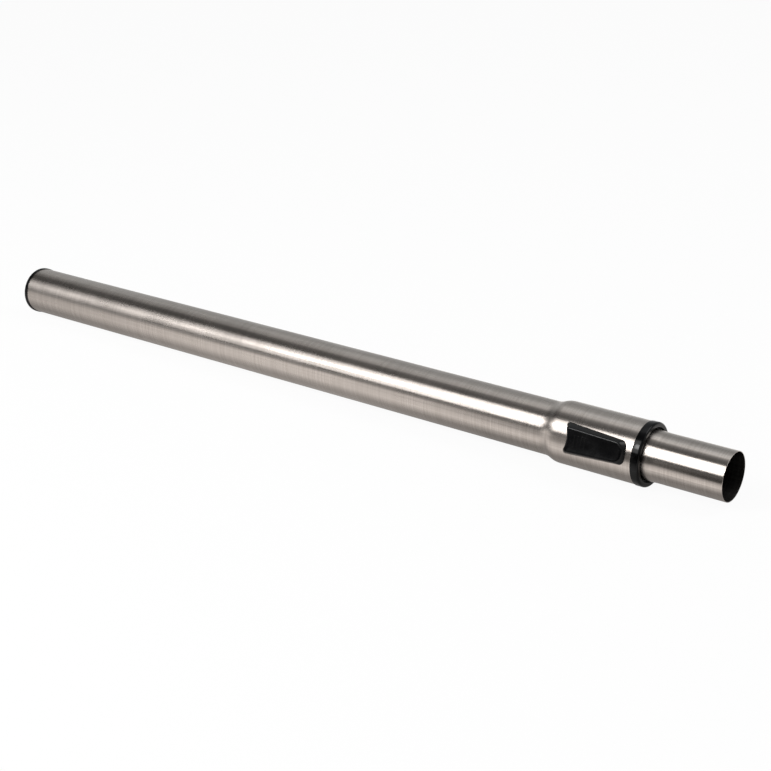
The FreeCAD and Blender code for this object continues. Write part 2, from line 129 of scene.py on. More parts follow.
@labelled
class WandSizes(PropertyGroup):
    """Sizes of the wand's visible pieces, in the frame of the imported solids."""

    tube_radius: mm("Outside of the outer tube", 17.75)
    tube_wall: mm("Wall of the outer tube", 0.6)
    sleeve_radius: mm("Outside of the widened sleeve", 20.35)
    tube_start: length("Station where the outer tube leaves the end ring", OUTER_LOW.x)
    flare_start: mm("Station where the tube begins to widen", 493.0)
    flare_length: mm("Length of the widening", 12.0)
    sleeve_end: length("Station where the sleeve meets the collar", OUTER_HIGH.x)
    slot_rear: mm("Rear end of the slot under the button", 520.0)
    slot_front: mm("Front end of the slot under the button", 543.6)
    slot_half: mm("Half the slot's width", 6.8)
    inner_radius: mm("Outside of the inner tube", 16.15)
    inner_wall: mm("Wall of the inner tube", 0.5)
    spigot_radius: mm("Outside of the nozzle end", 15.9)
    spigot_length: mm("Length of the nozzle end", 45.0)
    spigot_blend: mm("Length of the step down to the nozzle end", 5.0)
    inner_start: length("Hidden end of the inner tube", INNER_LOW.x)
    inner_trim: mm("Length left off at the hidden end", 0.1)
    inner_end: length("Nozzle end of the inner tube", INNER_HIGH.x)
    inner_rim: mm("Broken edge of the nozzle end", 0.12)
    notch_station: mm("Station of the notch under the bolt", 531.8)
    notch_pitch: mm("Step between notches", 32.0)
    notch_depth: mm("Depth of a notch below the tube's outside", 1.6)
    notch_radius: mm("Radius of a notch's rounded floor", 2.1)
    notch_count: count("Number of locking notches", 13)
    groove_radius: mm("Radius of the key groove", 3.0)
    groove_depth: mm("Depth of the key groove", 0.9)
    groove_start: mm("Hidden end of the key groove", 122.6)
    groove_end: mm("Front end of the key groove", 553.6)
    pressed_edge: mm("Softness of the edges of pressed forms", 0.5)
    lie_angle: slant("Height of the button above the horizontal", 14.5)
    collar_rear: length("Rear end of the collar's skirt", COLLAR_LOW.x)
    collar_front: length("Front face of the collar", COLLAR_HIGH.x)
    collar_radius: mm("Outside of the collar", 20.75)
    collar_mouth: mm("Radius of the recess round the inner tube", 17.65)
    collar_round: mm("Rounding of the collar's front edge", 1.4)
    collar_edge: mm("Rounding of the collar's other edges", 0.35)
    recess_depth: mm("Depth of the recess round the inner tube", 3.4)
    lip_thickness: mm("Thickness of the lip behind the recess", 2.0)
    lip_gap: mm("Gap between the lip and the inner tube", 0.45)
    ring_start: length("Mouth of the handle socket", RING_LOW.x)
    ring_radius: length("Outside of the end ring's lip", RING_HIGH.z)
    ring_bore: mm("Bore of the handle socket", 16.1)
    ring_round: mm("Rounding of the lip's outer edge", 0.4)
    ring_edge: mm("Rounding of the lip's edge beside the tube", 0.2)
    ring_lead: mm("Rounding of the socket's mouth", 0.7)
    ring_end: length("Hidden end of the end ring's skirt", RING_HIGH.x)
    button_rear: mm("Rear end of the button at the skirt's level", 511.8)
    button_front: mm("Front end of the button at the sleeve's level", 555.8)
    button_skirt: mm("Level from which the button's walls are drafted", 17.492)
    button_seat: mm("Radius of the button's underside, above the sleeve", 20.65)
    button_ceiling: mm("Level of the roof over the carriage", 22.5)
    rear_top: mm("Level of the top face at its rear edge", 24.8)
    front_top: mm("Level of the top face at its front edge", 23.4)
    rear_cover: mm("Button's reach beside the slot at its rear", 3.6)
    front_cover: mm("Button's reach beside the slot at its front", 1.3)
    rear_scoop: mm("Depth of the scoop in the button's rear end", 1.6)
    front_bow: mm("Reach of the button's bowed front end beyond its corners", 1.2)
    rear_corner: mm("Rounding of the button's rear corners", 2.4)
    front_corner: mm("Rounding of the button's front corners", 3.2)
    least_corner: mm("Smallest rounding of the corners inside the rim", 0.3)
    side_draft: slant("Lean of the button's long walls", 17)
    rear_draft: slant("Lean of the button's rear wall", 25)
    front_draft: slant("Lean of the button's front wall", 30)
    button_edge: mm("Rounding of the rim of the top face", 0.8)
    thumb_depth: mm("Depth of the thumb hollow", 0.22)
    thumb_reach: mm("Distance from the rim at which the hollow is level", 5.7)
    rib_pitch: mm("Step between the grip ribs", 2.4)
    rib_radius: mm("Rounding of a grip rib", 0.45)
    rib_height: mm("Height of a grip rib above the hollow's floor", 0.25)
    rib_half: mm("Half the length of a grip rib", 4.1)
    rib_count: count("Number of grip ribs", 4)
    carriage_rear: mm("Rear end of the room for the carriage", 520.15)
    carriage_front: mm("Front end of the room for the carriage", 539.95)
    carriage_half: mm("Half the width of the room for the carriage", 5.55)
    button_travel: mm("Way the button slides", 3.5)
    spring_seat: mm("Station where the return springs are held", 551.4)
    spring_room: mm("Length from the carriage at rest to the springs' seat", 11.5)
    spring_diameter: mm("Outside of a return spring", 2.3)
    spring_wire: mm("Thickness of the springs' wire", 0.36)
    spring_level: mm("Level of the springs' middle lines", 18.33)
    spring_spread: mm("Distance of a spring from the button's line", 1.7)
    fit_gap: mm("Clearance of pieces that sit in others", 0.05)
    spring_turns: count("Turns of a return spring", 5)


@labelled
class WandFinish(PropertyGroup):
    """Colours and roughness of the wand's finishes."""

    steel_dark: colour("Darker tint of the ground steel", (0.463, 0.417, 0.38))
    steel_light: colour("Lighter tint of the ground steel", (0.632, 0.577, 0.537))
    # Painted shade: the bores' darkness is painted into near-black steel, with random lighter
    # patches
    painted_shade_inside_dark: colour("Dull scale inside the tubes", (0.035, 0.033, 0.031))
    painted_shade_inside_light: colour("Rubbed scale inside the tubes", (0.10, 0.095, 0.09))
    gloss_black: colour("Collar's moulded plastic", (0.0005, 0.0005, 0.0006))
    satin_black: colour("Button's and end ring's moulded plastic", (0.001, 0.001, 0.0013))
    black_bloom: colour("Paler cast on the black plastics", (0.002, 0.002, 0.0024))
    acetal_dark: colour("Shaded tint of the natural acetal", (0.60, 0.585, 0.55))
    acetal_light: colour("Lighter tint of the natural acetal", (0.78, 0.77, 0.74))
    rubber: colour("Air seal", (0.022, 0.022, 0.022))
    felt: colour("Wiper ring", (0.10, 0.10, 0.105))
    steel_roughness: partial(FloatProperty, description="Roughness of the ground steel",
                             default=0.27, min=0, max=1, subtype="FACTOR")


@labelled
class WandStage(PropertyGroup):
    """Light, floor and camera."""

    softbox_power: watts("Power of the large softbox", 11.5)
    wing_power: watts("Power of the softbox's dimmer left part", 0.36)
    core_power: watts("Power of the strip lamp at the softbox's heart", 6.2)
    fill_power: watts("Power of the overhead fill", 10.0)
    focal_length: partial(FloatProperty, description="Lens on a 36 mm square", default=69.62,
                          min=1, unit="CAMERA")
    floor_size: length("Side of the floor", 24.0)


# Shader helpers

def add_node(tree, kind, settings, inputs):
    """New node with its settings and inputs; an input given as a socket is linked."""
    made = tree.nodes.new(kind)
    for name, value in settings.items():
        setattr(made, name, value)
    for key, value in inputs.items():
        if isinstance(value, bpy.types.NodeSocket):
            tree.links.new(value, made.inputs[key])
        else:
            made.inputs[key].default_value = value
    return made


def math_node(tree, operation, first, second):
    """Result socket of a math node."""
    made = add_node(tree, "ShaderNodeMath", {"operation": operation}, {0: first, 1: second})
    return made.outputs[0]


def combined(tree, x, y, z):
    """Vector from three values."""
    return add_node(tree, "ShaderNodeCombineXYZ", {}, {"X": x, "Y": y, "Z": z}).outputs[0]


def noise(tree, coordinate, scale, detail, roughness=0.5):
    """Value of a noise texture over a coordinate stretched by a vector."""
    place = add_node(tree, "ShaderNodeVectorMath", {"operation": "MULTIPLY"},
                     {0: coordinate, 1: scale})
    inputs = {"Vector": place.outputs[0], "Scale": 1.0, "Detail": detail, "Roughness": roughness}
    return add_node(tree, "ShaderNodeTexNoise", {"noise_dimensions": "3D"}, inputs).outputs["Fac"]


def spread(tree, value, low, high, to_low=0.0, to_high=1.0):
    """Value moved from one range to another, and kept inside it."""
    made = add_node(tree, "ShaderNodeMapRange", {"clamp": True},
                    {"Value": value, "From Min": low, "From Max": high,
                     "To Min": to_low, "To Max": to_high})
    return made.outputs["Result"]


def mixed(tree, factor, first, second):
    """Colour between two colours."""
    made = add_node(tree, "ShaderNodeMix", {"data_type": "RGBA"}, {"Factor": factor})
    for socket, value in ((made.inputs[6], first), (made.inputs[7], second)):
        if isinstance(value, bpy.types.NodeSocket):
            tree.links.new(value, socket)
        else:
            socket.default_value = (*value, 1)
    return made.outputs[2]


def new_group(name, inputs, outputs):
    """Empty shader node group from a coordinate and numbers to numbers, and its sockets inside."""
    group = bpy.data.node_groups.new(name, "ShaderNodeTree")
    group.interface.new_socket("Coordinate", in_out="INPUT", socket_type="NodeSocketVector")
    for title in inputs:
        group.interface.new_socket(title, in_out="INPUT", socket_type="NodeSocketFloat")
    for title in outputs:
        group.interface.new_socket(title, in_out="OUTPUT", socket_type="NodeSocketFloat")
    given = group.nodes.new("NodeGroupInput").outputs
    result = group.nodes.new("NodeGroupOutput").inputs
    return group, given, result


def ground_grain_group():
    """Marks of a ground tube: fine rings round it, lines along it and handling smudges."""
    group, given, result = new_group(
        "Ground Grain", ("Ring Scale", "Line Scale"), ("Shade", "Smudge", "Height"))
    rings = noise(group, given["Coordinate"], combined(group, given["Ring Scale"], 30.0, 30.0),
                  detail=4.0, roughness=0.65)
    line_scale = given["Line Scale"]
    lines = noise(group, given["Coordinate"], combined(group, 3.0, line_scale, line_scale),
                  detail=3.0, roughness=0.6)
    smudge = noise(group, given["Coordinate"], (24.0, 70.0, 70.0), detail=4.0)
    ring_share = 0.6
    both = math_node(group, "ADD", math_node(group, "MULTIPLY", rings, ring_share),
                     math_node(group, "MULTIPLY", lines, 1 - ring_share))
    group.links.new(spread(group, both, 0.35, 0.65), result["Shade"])
    group.links.new(spread(group, smudge, 0.35, 0.7), result["Smudge"])
    group.links.new(rings, result["Height"])
    return group


def moulded_skin_group():
    """Skin of a moulding: a fine orange peel and a faint cloudy bloom."""
    group, given, result = new_group("Moulded Skin", ("Peel Scale",), ("Bloom", "Height"))
    peel_scale = combined(group, *[given["Peel Scale"]] * 3)
    peel = noise(group, given["Coordinate"], peel_scale, detail=3.0)
    cloud = noise(group, given["Coordinate"], (160.0, 160.0, 160.0), detail=5.0)
    group.links.new(spread(group, cloud, 0.35, 0.7), result["Bloom"])
    group.links.new(peel, result["Height"])
    return group


def new_material(name):
    """Material with an emptied tree, its Principled shader and the object's coordinate."""
    material = bpy.data.materials.new(name)
    material.use_nodes = True
    tree = material.node_tree
    tree.nodes.clear()
    shader = tree.nodes.new("ShaderNodeBsdfPrincipled")
    output = tree.nodes.new("ShaderNodeOutputMaterial")
    tree.links.new(shader.outputs["BSDF"], output.inputs["Surface"])
    coordinate = tree.nodes.new("ShaderNodeTexCoord").outputs["Object"]
    return material, tree, shader, coordinate


def shared_marks(tree, name, maker, inputs):
    """Outputs of the shared node group of that name, which is made when it is first wanted."""
    group = bpy.data.node_groups.get(name) or maker()
    return add_node(tree, "ShaderNodeGroup", {"node_tree": group}, inputs).outputs


def bump(tree, shader, height, strength, distance):
    """Bump from a height into the shader's normal."""
    inputs = {"Height": height, "Strength": strength, "Distance": distance}
    made = add_node(tree, "ShaderNodeBump", {}, inputs)
    tree.links.new(made.outputs["Normal"], shader.inputs["Normal"])


def paint(tree, shader, shade, dark, light, patches, low, high):
    """Colour between two tints by a shade, and roughness between two values by patches."""
    tree.links.new(mixed(tree, shade, dark, light), shader.inputs["Base Color"])
    tree.links.new(spread(tree, patches, 0.0, 1.0, low, high), shader.inputs["Roughness"])


def steel(name, dark, light, roughness, smudges, ring_scale, line_scale, relief, stretch=0.0):
    """Steel with a tube's marks; a stretch draws reflections out along the tube alone."""
    material, tree, shader, coordinate = new_material(name)
    grain = shared_marks(tree, "Ground Grain", ground_grain_group,
                         {"Coordinate": coordinate,
                          "Ring Scale": ring_scale, "Line Scale": line_scale})
    bright, dull = smudges
    paint(tree, shader, grain["Shade"], dark, light,
          grain["Smudge"], low=roughness + bright, high=roughness + dull)
    shader.inputs["Metallic"].default_value = 1.0
    if stretch:
        shader.inputs["Anisotropic"].default_value = stretch
        tangent = add_node(tree, "ShaderNodeTangent",
                           {"direction_type": "UV_MAP", "uv_map": "along"}, {})
        tree.links.new(tangent.outputs["Tangent"], shader.inputs["Tangent"])
    bump(tree, shader, grain["Height"], strength=relief, distance=0.05 * MM)
    return material


def moulded(name, dark, light, roughness, peel_scale, peel, shine):
    """Moulded plastic or rubber."""
    material, tree, shader, coordinate = new_material(name)
    skin = shared_marks(tree, "Moulded Skin", moulded_skin_group,
                        {"Coordinate": coordinate, "Peel Scale": peel_scale})
    paint(tree, shader, skin["Bloom"], dark, light,
          skin["Bloom"], low=roughness * 0.85, high=roughness * 1.25)
    shader.inputs["Specular IOR Level"].default_value = shine
    bump(tree, shader, skin["Height"], strength=peel, distance=0.04 * MM)
    return material


def pressed_felt(name, tint):
    """Felt with a fibrous cast."""
    material, tree, shader, coordinate = new_material(name)
    fibres = noise(tree, coordinate, (2600.0, 2600.0, 2600.0), detail=6.0, roughness=0.7)
    cast = spread(tree, fibres, 0.3, 0.7)
    dark, light = [part * 0.5 for part in tint], [part * 1.7 for part in tint]
    paint(tree, shader, cast, dark, light, cast, low=0.85, high=1.0)
    bump(tree, shader, fibres, strength=0.8, distance=0.3 * MM)
    return material


def finish(name):
    """The wand's material of that name, made when it is first wanted."""
    found = bpy.data.materials.get(name)
    if found:
        return found
    looks = bpy.context.scene.wand_finish
    tints = (name, looks.steel_dark, looks.steel_light)
    ground = {"smudges": (-0.03, 0.05), "relief": 0.12, "stretch": 0.85}
    plain = {"smudges": (-0.08, 0.08), "relief": 0.2, "ring_scale": 900.0, "line_scale": 500.0}
    bloom = looks.black_bloom
    if name == "outer steel":
        return steel(*tints, looks.steel_roughness, ring_scale=1400.0, line_scale=1300.0, **ground)
    if name == "inner steel":
        drawn_roughness = looks.steel_roughness - 0.04
        return steel(*tints, drawn_roughness, ring_scale=1800.0, line_scale=1700.0, **ground)
    # Painted shade of the bores: near-black steel inside both tubes
    if name == "tube inside":
        return steel(name, looks.painted_shade_inside_dark, looks.painted_shade_inside_light, roughness=0.5, **plain)
    if name == "plain steel":
        return steel(*tints, roughness=0.3, **plain)
    if name == "gloss black":
        return moulded(name, looks.gloss_black, bloom,
                       roughness=0.13, peel_scale=500.0, peel=0.08, shine=0.2)
    if name == "satin black":
        return moulded(name, looks.satin_black, bloom,
                       roughness=0.22, peel_scale=2200.0, peel=0.2, shine=0.24)
    if name == "acetal":
        return moulded(name, looks.acetal_dark, looks.acetal_light,
                       roughness=0.42, peel_scale=900.0, peel=0.2, shine=0.5)
    if name == "rubber":
        return moulded(name, looks.rubber, bloom,
                       roughness=0.7, peel_scale=3000.0, peel=0.4, shine=0.3)
    if name == "felt":
        return pressed_felt(name, looks.felt)
    raise ValueError("no finish is named " + name)


# Mesh helpers

def even(start, end, steps):
    """Evenly spaced values, both ends included."""
    return [start + (end - start) * step / steps for step in range(steps + 1)]


def arc(centre, radius, start, end, steps):
    """Points of an arc in a turned section, with angles in degrees from +X towards the outside."""
    points = []
    for turn in even(start, end, steps):
        turn = math.radians(turn)
        points.append((centre[0] + radius * math.cos(turn), centre[1] + radius * math.sin(turn)))
    return points


def through(marks, counts):
    """Values from mark to mark, each run in its own count of even steps."""
    made = [marks[0]]
    for start, end, steps in zip(marks, marks[1:], counts):
        made += even(start, end, steps)[1:]
    return made


def circle(mesh, middle, first, second, radius, columns):
    """Vertices of a circle in the plane of two directions."""
    made = []
    for turn in even(0, 2 * math.pi, columns)[:-1]:
        outward = math.cos(turn) * first + math.sin(turn) * second
        made.append(mesh.verts.new(middle + radius * outward))
    return made


def ring_points(mesh, station, radius_at, angles):
    """Vertices of one ring round the wand's axis."""
    made = []
    for angle in angles:
        radius = radius_at(station, angle)
        made.append(mesh.verts.new((station, radius * math.cos(angle), radius * math.sin(angle))))
    return made


def skin(mesh, rings, slots, layer, skip=None):
    """Quads from ring to ring, the last joined to the first, with length and turn as UV."""
    columns = len(rings[0])
    travel = 0.0
    for index, ring in enumerate(rings):
        following = rings[(index + 1) % len(rings)]
        step = (following[0].co - ring[0].co).length
        for column in range(columns):
            if skip and skip(index, column):
                continue
            beside = (column + 1) % columns
            corners = (ring[column], following[column], following[beside], ring[beside])
            face = mesh.faces.new(corners)
            face.material_index = slots[index]
            face.smooth = True
            alongs = (travel, travel + step, travel + step, travel)
            turns = (column, column, column + 1, column + 1)
            for loop, along, turn in zip(face.loops, alongs, turns):
                loop[layer].uv = (along, turn / columns)
        travel += step


def new_piece(name, mesh, materials, body, node):
    """Object from a finished mesh that stands for a node of the frame and rides on its body."""
    bmesh.ops.recalc_face_normals(mesh, faces=mesh.faces)
    data = bpy.data.meshes.new(name)
    mesh.to_mesh(data)
    mesh.free()
    for material in materials:
        data.materials.append(finish(material))
    piece = bpy.data.objects.new(name, data)
    bpy.context.scene.collection.objects.link(piece)
    data.set_sharp_from_angle(angle=SHARP_ANGLE)
    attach(piece, body)
    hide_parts(node)
    return piece


def turned_piece(name, outline, columns, material, body, node):
    """Piece turned about the wand's axis from a closed outline of stations and radii."""
    mesh = bmesh.new()
    layer = mesh.loops.layers.uv.new("along")
    angles = even(0, 2 * math.pi, columns)[:-1]
    rings = []
    for station, radius in outline:
        rings.append(ring_points(mesh, station, lambda x, a, r=radius: r, angles))
    skin(mesh, rings, [0] * len(rings), layer)
    new_piece(name, mesh, (material,), body, node)


def closed_skin(mesh, rings):
    """Smooth quads between neighbouring rings, with a face over each end."""
    for ring, following in zip(rings, rings[1:]):
        for index in range(len(ring)):
            mesh.faces.new((ring[index - 1], ring[index], following[index], following[index - 1]))
    mesh.faces.new(rings[0])
    mesh.faces.new(rings[-1])
    for face in mesh.faces:
        face.smooth = True


def lay_down(mesh, sizes):
    """Mesh drawn with the button on top, turned to the way the wand lies."""
    turn = Matrix.Rotation(math.pi / 2 - sizes.lie_angle, 4, "X")
    bmesh.ops.transform(mesh, matrix=turn, verts=mesh.verts)


def softened_minimum(first, second, softness):
    """Smaller of two values, with the crossing rounded off."""
    overlap = max(softness - abs(first - second), 0) / softness
    return min(first, second) - overlap * overlap * softness / 4


class WAND_OT_outer_tube(Operator):
    """Ground steel tube that widens into the sleeve, with the slot under the button"""

    bl_idname = "wand.outer_tube"
    bl_label = "Outer Tube"

    def execute(self, context):
        sizes = context.scene.wand_sizes
        rise = sizes.sleeve_radius - sizes.tube_radius
        run = sizes.flare_length
        bend = (run * run + rise * rise) / (4 * rise)

        def outside(station):
            travel = min(max(station - sizes.flare_start, 0), run)
            if travel < run / 2:
                return sizes.tube_radius + bend - math.sqrt(bend * bend - travel * travel)
            return sizes.sleeve_radius - bend + math.sqrt(bend * bend - (run - travel) ** 2)

        def inside(station):
            return outside(station) - sizes.tube_wall

        marks = (sizes.tube_start, sizes.flare_start, sizes.flare_start + run,
                 sizes.slot_rear, sizes.slot_front, sizes.sleeve_end)
        steps = (60, 20, 6, 8, 6)
        stations = through(marks, steps)
        first, last = sum(steps[:3]), sum(steps[:4])
        facing = math.pi - sizes.lie_angle
        half = math.asin(sizes.slot_half / sizes.sleeve_radius)
        across, round_it = 12, 204
        turns = through((-half, half, 2 * math.pi - half), (across, round_it))[:-1]
        angles = [facing + turn for turn in turns]
        mesh = bmesh.new()
        layer = mesh.loops.layers.uv.new("along")
        rings = [ring_points(mesh, x, lambda s, a: outside(s), angles) for x in stations]
        rings += [ring_points(mesh, x, lambda s, a: inside(s), angles) for x in reversed(stations)]
        rows = len(stations)

        def in_slot(index, column):
            row = index if index < rows else 2 * rows - 2 - index
            return column < across and first <= row < last

        # The inside faces take the painted shade of the bore
        skin(mesh, rings, [0] * rows + [1] * rows, layer, in_slot)
        rims = [edge for edge in mesh.edges if edge.is_boundary]
        bmesh.ops.bridge_loops(mesh, edges=rims)
        new_piece("outer_tube_skin", mesh, ("outer steel", "tube inside"),
                  "outer", "outer_tube")
        return {"FINISHED"}


class WAND_OT_inner_tube(Operator):
    """Thinner tube with pressed locking notches, the key groove opposite and the nozzle end"""

    bl_idname = "wand.inner_tube"
    bl_label = "Inner Tube"

    def execute(self, context):
        sizes = context.scene.wand_sizes
        facing = math.pi - sizes.lie_angle
        spigot_start = sizes.inner_end - sizes.spigot_length
        floor_centre = sizes.inner_radius - sizes.notch_depth + sizes.notch_radius
        groove_centre = sizes.inner_radius - sizes.groove_depth + sizes.groove_radius
        notches = []
        for step in range(sizes.notch_count):
            notches.append(sizes.notch_station - step * sizes.notch_pitch)

        def outside(station, angle):
            blend = min(max((station - spigot_start) / sizes.spigot_blend + 1, 0), 1)
            blend = blend * blend * (3 - 2 * blend)
            radius = sizes.inner_radius + (sizes.spigot_radius - sizes.inner_radius) * blend
            turn = math.remainder(angle - facing, 2 * math.pi)
            nearest = min(notches, key=lambda notch: abs(notch - station))
            offset = abs(station - nearest)
            if offset < sizes.notch_radius and math.cos(turn) > 0:
                floor = floor_centre - math.sqrt(sizes.notch_radius ** 2 - offset ** 2)
                radius = softened_minimum(radius, floor / math.cos(turn), sizes.pressed_edge)
            opposite = math.remainder(angle - facing - math.pi, 2 * math.pi)
            beyond = max(sizes.groove_start - station, station - sizes.groove_end, 0)
            sideways = groove_centre * math.sin(opposite)
            left = sizes.groove_radius ** 2 - beyond ** 2 - sideways ** 2
            if beyond < sizes.groove_radius and left > 0 and math.cos(opposite) > 0:
                level = groove_centre * math.cos(opposite) - math.sqrt(left)
                radius = softened_minimum(radius, level, sizes.pressed_edge)
            return radius

        def inside(station, angle):
            return outside(station, angle) - sizes.inner_wall

        reach = sizes.notch_radius + sizes.pressed_edge
        end, rim = sizes.inner_end, sizes.inner_rim

        def stations(notch_steps):
            made = even(sizes.inner_start + sizes.inner_trim, notches[-1] - reach, 12)[:-1]
            for notch in reversed(notches):
                marks = (notch - reach, notch + reach, notch + sizes.notch_pitch - reach)
                made += through(marks, (notch_steps, 4))[:-1]
            made = [station for station in made if station < spigot_start - sizes.spigot_blend]
            marks = (spigot_start - sizes.spigot_blend, spigot_start, end - rim)
            return made + through(marks, (10, 12))

        notch_side = math.radians(32)
        groove_side = math.radians(12)
        marks = (-notch_side, notch_side,
                 math.pi - groove_side, math.pi + groove_side, 2 * math.pi - notch_side)
        angles = [facing + turn for turn in through(marks, (50, 50, 24, 50))[:-1]]
        mesh = bmesh.new()
        layer = mesh.loops.layers.uv.new("along")
        rings = [ring_points(mesh, x, outside, angles) for x in stations(20)]
        rows = len(rings)
        rings.append(ring_points(mesh, end, lambda x, a: outside(x, a) - rim, angles))
        rings.append(ring_points(mesh, end, lambda x, a: inside(x, a) + rim, angles))
        rings += [ring_points(mesh, x, inside, angles) for x in reversed(stations(8))]
        # The inside faces take the painted shade of the bore
        skin(mesh, rings, [0] * (rows + 1) + [1] * (len(rings) - rows - 2) + [0], layer)
        new_piece("inner_tube_skin", mesh, ("inner steel", "tube inside"),
                  "inner", "inner_tube")
        return {"FINISHED"}


class WAND_OT_collar(Operator):
    """Gloss collar that closes the sleeve, with its recessed mouth"""

    bl_idname = "wand.collar"
    bl_label = "Collar"

    def execute(self, context):
        sizes = context.scene.wand_sizes
        rear = sizes.sleeve_end
        front = sizes.collar_front
        radius = sizes.collar_radius
        mouth = sizes.collar_mouth
        skirt = sizes.sleeve_radius - sizes.tube_wall - sizes.fit_gap
        rounding = sizes.collar_round
        small = sizes.collar_edge
        lip_front = front - sizes.recess_depth
        lip_rear = lip_front - sizes.lip_thickness
        lip_bore = sizes.inner_radius + sizes.lip_gap
        outline = [(sizes.collar_rear, mouth), (sizes.collar_rear, skirt), (rear, skirt)]
        outline += arc((rear + small, radius - small), small, 180, 90, 5)
        outline += arc((front - rounding, radius - rounding), rounding, 90, 0, 10)
        outline += arc((front - small, mouth + small), small, 0, -90, 5)
        outline += [(lip_front, mouth)]
        outline += arc((lip_front - small, lip_bore + small), small, 0, -90, 4)
        outline += [(lip_rear, lip_bore), (lip_rear, mouth)]
        turned_piece("collar_moulding", outline, columns=192, material="gloss black",
                     body="outer", node="collar")
        return {"FINISHED"}


class WAND_OT_end_ring(Operator):
    """Satin bush of the handle socket with its thin lip"""

    bl_idname = "wand.end_ring"
    bl_label = "End Ring"

    def execute(self, context):
        sizes = context.scene.wand_sizes
        start = sizes.ring_start
        radius = sizes.ring_radius
        bore = sizes.ring_bore
        skirt = sizes.tube_radius - sizes.tube_wall - sizes.fit_gap
        rounding = sizes.ring_round
        edge = sizes.ring_edge
        lead = sizes.ring_lead
        outline = [(start, bore + lead)]
        outline += arc((start + rounding, radius - rounding), rounding, 180, 90, 8)
        outline += arc((sizes.tube_start - edge, radius - edge), edge, 90, 0, 3)
        outline += [(sizes.tube_start, skirt), (sizes.ring_end, skirt), (sizes.ring_end, bore)]
        outline += arc((start + lead, bore + lead), lead, -90, -180, 5)[:-1]
        turned_piece("end_ring_moulding", outline, columns=160, material="satin black",
                     body="outer", node="end_ring")
        return {"FINISHED"}


def rounded(start, corner, end, steps):
    """Points of a corner rounded between two tangent points, both included."""
    weight = math.sqrt(0.5)
    points = []
    for share in even(0, 1, steps):
        first, middle, last = (1 - share) ** 2, 2 * weight * share * (1 - share), share ** 2
        point = Vector(start) * first + Vector(corner) * middle + Vector(end) * last
        points.append(point / (first + middle + last))
    return points


